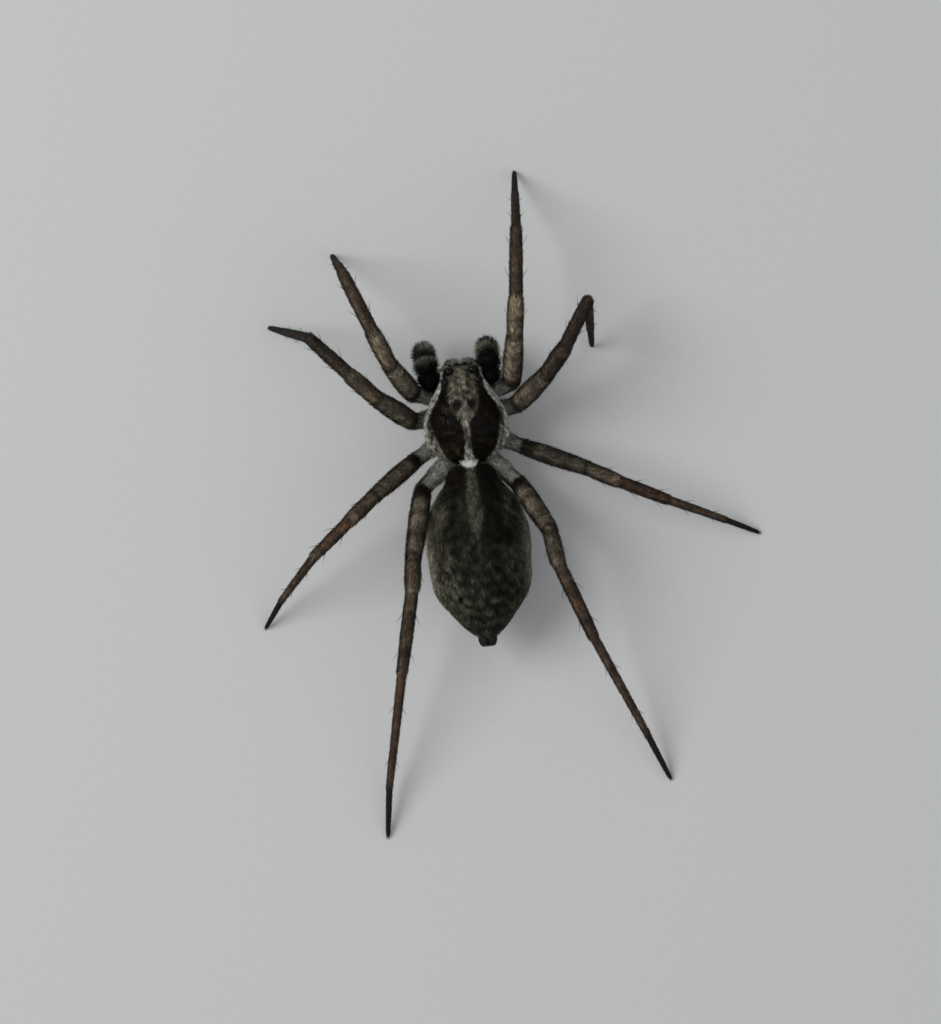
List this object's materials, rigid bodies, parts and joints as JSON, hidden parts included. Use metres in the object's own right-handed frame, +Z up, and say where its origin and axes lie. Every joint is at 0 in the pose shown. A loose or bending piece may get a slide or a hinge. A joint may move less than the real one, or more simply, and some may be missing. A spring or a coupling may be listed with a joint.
{
  "type": "wolf spider",
  "caption": "Life-size still model of a small slender wolf spider standing on all its legs: dark brown carapace with a pale median band, olive-grey abdomen, ringed legs.",
  "frame": {"origin": "on the floor, under the middle of the box round the whole spider", "axes": "+Z up; the head points to -Y and the spider's right side to -X"},
  "size_m": [0.0144, 0.0186, 0.0039],
  "materials": {
    "carapace": "dark brown shell under short lying hair, with a pale band down the middle and pale margins",
    "underside": "brown plate under short grey hair",
    "abdomen": "dense short dark olive-grey hair with black flecks and paler sides",
    "spinnerets": "dark, finely haired",
    "eye": "polished black lens",
    "jaw": "dark reddish brown shell with grey hairs in front",
    "feeler": "black-brown with grey hairs at the ends",
    "leg_coxa": "grey hair over brown skin",
    "leg_femur": "olive-brown skin under grey hair, with faint dark rings",
    "leg_patella": "yellowish brown skin, thinly haired",
    "leg_tibia": "reddish brown skin with dark rings, haired and spined",
    "leg_foot": "brown, near black at the tip, haired and spined"
  },
  "bodies": {
    "root": {"carapace": "carapace", "sternum": "underside", "abdomen": "abdomen", "spinnerets": "spinnerets", "right_eye_front_inner": "eye", "right_eye_front_outer": "eye", "right_eye_middle": "eye", "right_eye_rear": "eye", "right_jaw": "jaw", "right_feeler_base": "feeler", "right_feeler_middle": "feeler", "right_feeler_tip": "feeler", "right_leg_1_coxa": "leg_coxa", "right_leg_1_femur": "leg_femur", "right_leg_1_patella": "leg_patella", "right_leg_1_tibia": "leg_tibia", "right_leg_1_foot": "leg_foot", "right_leg_2_coxa": "leg_coxa", "right_leg_2_femur": "leg_femur", "right_leg_2_patella": "leg_patella", "right_leg_2_tibia": "leg_tibia", "right_leg_2_foot": "leg_foot", "right_leg_3_coxa": "leg_coxa", "right_leg_3_femur": "leg_femur", "right_leg_3_patella": "leg_patella", "right_leg_3_tibia": "leg_tibia", "right_leg_3_foot": "leg_foot", "right_leg_4_coxa": "leg_coxa", "right_leg_4_femur": "leg_femur", "right_leg_4_patella": "leg_patella", "right_leg_4_tibia": "leg_tibia", "right_leg_4_foot": "leg_foot", "left_eye_front_inner": "eye", "left_eye_front_outer": "eye", "left_eye_middle": "eye", "left_eye_rear": "eye", "left_jaw": "jaw", "left_feeler_base": "feeler", "left_feeler_middle": "feeler", "left_feeler_tip": "feeler", "left_leg_1_coxa": "leg_coxa", "left_leg_1_femur": "leg_femur", "left_leg_1_patella": "leg_patella", "left_leg_1_tibia": "leg_tibia", "left_leg_1_foot": "leg_foot", "left_leg_2_coxa": "leg_coxa", "left_leg_2_femur": "leg_femur", "left_leg_2_patella": "leg_patella", "left_leg_2_tibia": "leg_tibia", "left_leg_2_foot": "leg_foot", "left_leg_3_coxa": "leg_coxa", "left_leg_3_femur": "leg_femur", "left_leg_3_patella": "leg_patella", "left_leg_3_tibia": "leg_tibia", "left_leg_3_foot": "leg_foot", "left_leg_4_coxa": "leg_coxa", "left_leg_4_femur": "leg_femur", "left_leg_4_patella": "leg_patella", "left_leg_4_tibia": "leg_tibia", "left_leg_4_foot": "leg_foot"}
  },
  "joints": []
}
